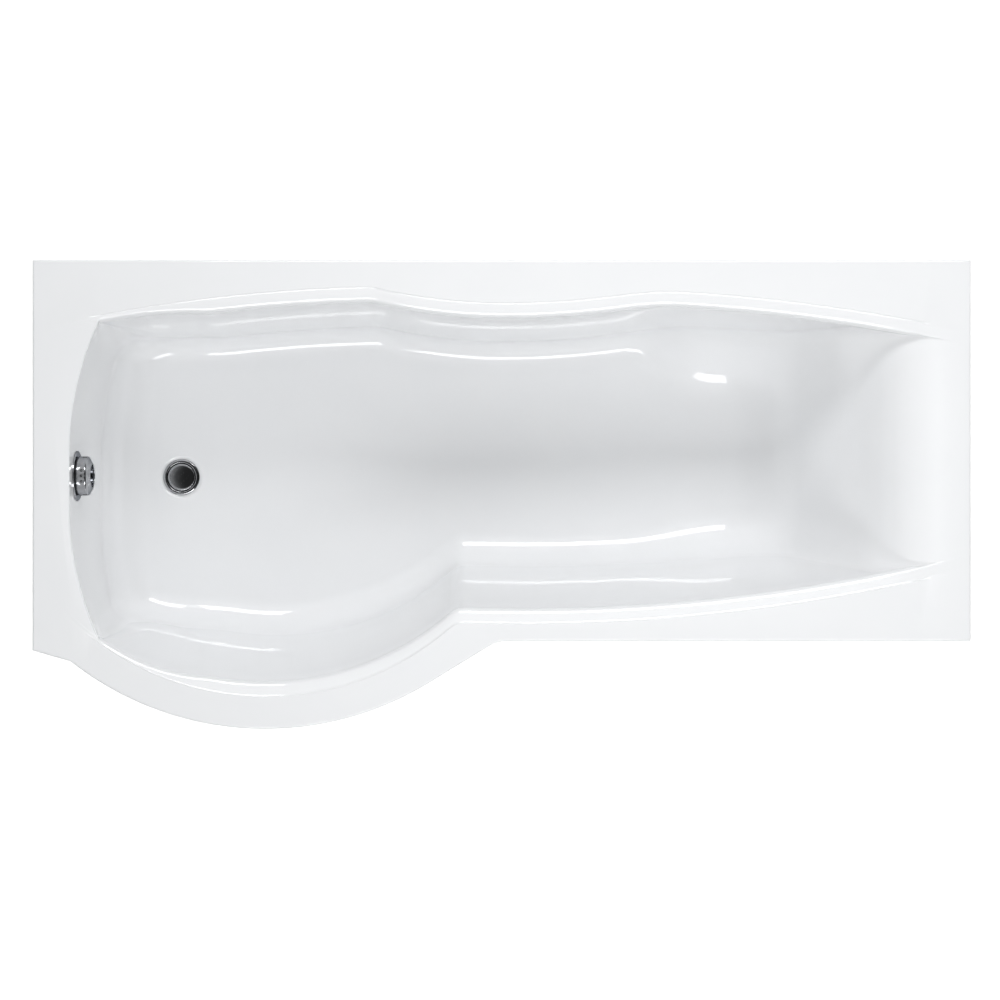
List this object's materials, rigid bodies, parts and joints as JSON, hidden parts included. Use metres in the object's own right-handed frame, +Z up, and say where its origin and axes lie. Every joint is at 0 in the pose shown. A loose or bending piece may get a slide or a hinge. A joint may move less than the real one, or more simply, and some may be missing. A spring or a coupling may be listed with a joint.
{
  "type": "p shaped shower bath",
  "caption": "White acrylic bath with a wide rounded showering end and a straight bathing half, on adjustable feet, with plug waste and overflow control.",
  "frame": {"origin": "centre of the bath's plan, at the underside of the feet", "axes": "+X along the bath from the tap end to the head end, +Y towards the wall side, +Z up"},
  "size_m": [1.7, 0.8498, 0.55],
  "materials": {
    "acrylic_shell": "glossy white acrylic, fibre reinforced on the back",
    "board": "raw chipboard sealed with resin",
    "timber": "sawn softwood",
    "zinc_steel": "galvanised",
    "zinc_fastener": "zinc plated",
    "foot_plastic": "moulded nylon",
    "chrome": "polished chrome plate",
    "brass_stem": "turned",
    "steel_pin": "ground",
    "rubber": "moulded",
    "white_plastic": "moulded",
    "hose_plastic": "ribbed, satin",
    "grey_plastic": "moulded",
    "black_plastic": "satin"
  },
  "bodies": {
    "root": {"bath_shell": "acrylic_shell", "base_board": "board", "back_batten": "timber", "tap_batten": "timber", "head_batten": "timber", "front_batten": "timber", "cradle_tap": "zinc_steel", "cradle_head": "zinc_steel", "centre_plate": "zinc_steel", "cradle_screws": "zinc_fastener", "leg_nuts": "zinc_fastener", "wall_bracket_left": "zinc_steel", "wall_bracket_right": "zinc_steel", "bracket_screws": "zinc_fastener", "waste_flange": "chrome", "flange_gasket": "rubber", "body_washer": "rubber", "waste_body": "white_plastic", "lever_pin": "steel_pin", "overflow_rose": "chrome", "overflow_strainer": "black_plastic", "overflow_washer": "rubber", "overflow_body": "white_plastic", "overflow_nut": "white_plastic", "overflow_hose": "hose_plastic", "hose_nut_top": "grey_plastic", "hose_nut_low": "grey_plastic", "cable_sheath": "black_plastic", "cable_ferrules": "black_plastic"},
    "knob": {"control_knob": "chrome", "knob_face": "chrome", "knob_spindle": "brass_stem"},
    "plug": {"plug_cap": "chrome", "plug_seal": "rubber", "plug_stem": "brass_stem"},
    "lifter": {"lift_lever": "grey_plastic"},
    "foot_1": {"stud_1": "zinc_fastener", "pad_1": "foot_plastic"},
    "foot_2": {"stud_2": "zinc_fastener", "pad_2": "foot_plastic"},
    "foot_3": {"stud_3": "zinc_fastener", "pad_3": "foot_plastic"},
    "foot_4": {"stud_4": "zinc_fastener", "pad_4": "foot_plastic"},
    "foot_5": {"stud_5": "zinc_fastener", "pad_5": "foot_plastic"}
  },
  "joints": [
    {"name": "knob_turn", "type": "hinge", "parent": "root", "child": "knob", "pos_m": [-0.77824, 0.034, 0.475], "axis": [0.9976, 0, 0.0698], "range_deg": [0, 90]},
    {"name": "plug_lift", "type": "slide", "parent": "root", "child": "plug", "axis": [0, 0, 1], "range_m": [0, 0.0101]},
    {"name": "lever_turn", "type": "hinge", "parent": "root", "child": "lifter", "pos_m": [-0.594, 0.034, 0.1], "axis": [0, 1, 0], "range_deg": [0, 24.67]},
    {"name": "foot_1_adjust", "type": "slide", "parent": "root", "child": "foot_1", "axis": [0, 0, 1], "range_m": [-0.02, 0.012]},
    {"name": "foot_2_adjust", "type": "slide", "parent": "root", "child": "foot_2", "axis": [0, 0, 1], "range_m": [-0.02, 0.012]},
    {"name": "foot_3_adjust", "type": "slide", "parent": "root", "child": "foot_3", "axis": [0, 0, 1], "range_m": [-0.02, 0.012]},
    {"name": "foot_4_adjust", "type": "slide", "parent": "root", "child": "foot_4", "axis": [0, 0, 1], "range_m": [-0.02, 0.012]},
    {"name": "foot_5_adjust", "type": "slide", "parent": "root", "child": "foot_5", "axis": [0, 0, 1], "range_m": [-0.02, 0.012]}
  ],
  "couplings": [
    {"joint": "plug_lift", "follows": "knob_turn", "m_per_rad": 0.0063662},
    {"joint": "lever_turn", "follows": "knob_turn", "ratio": 0.2736}
  ]
}
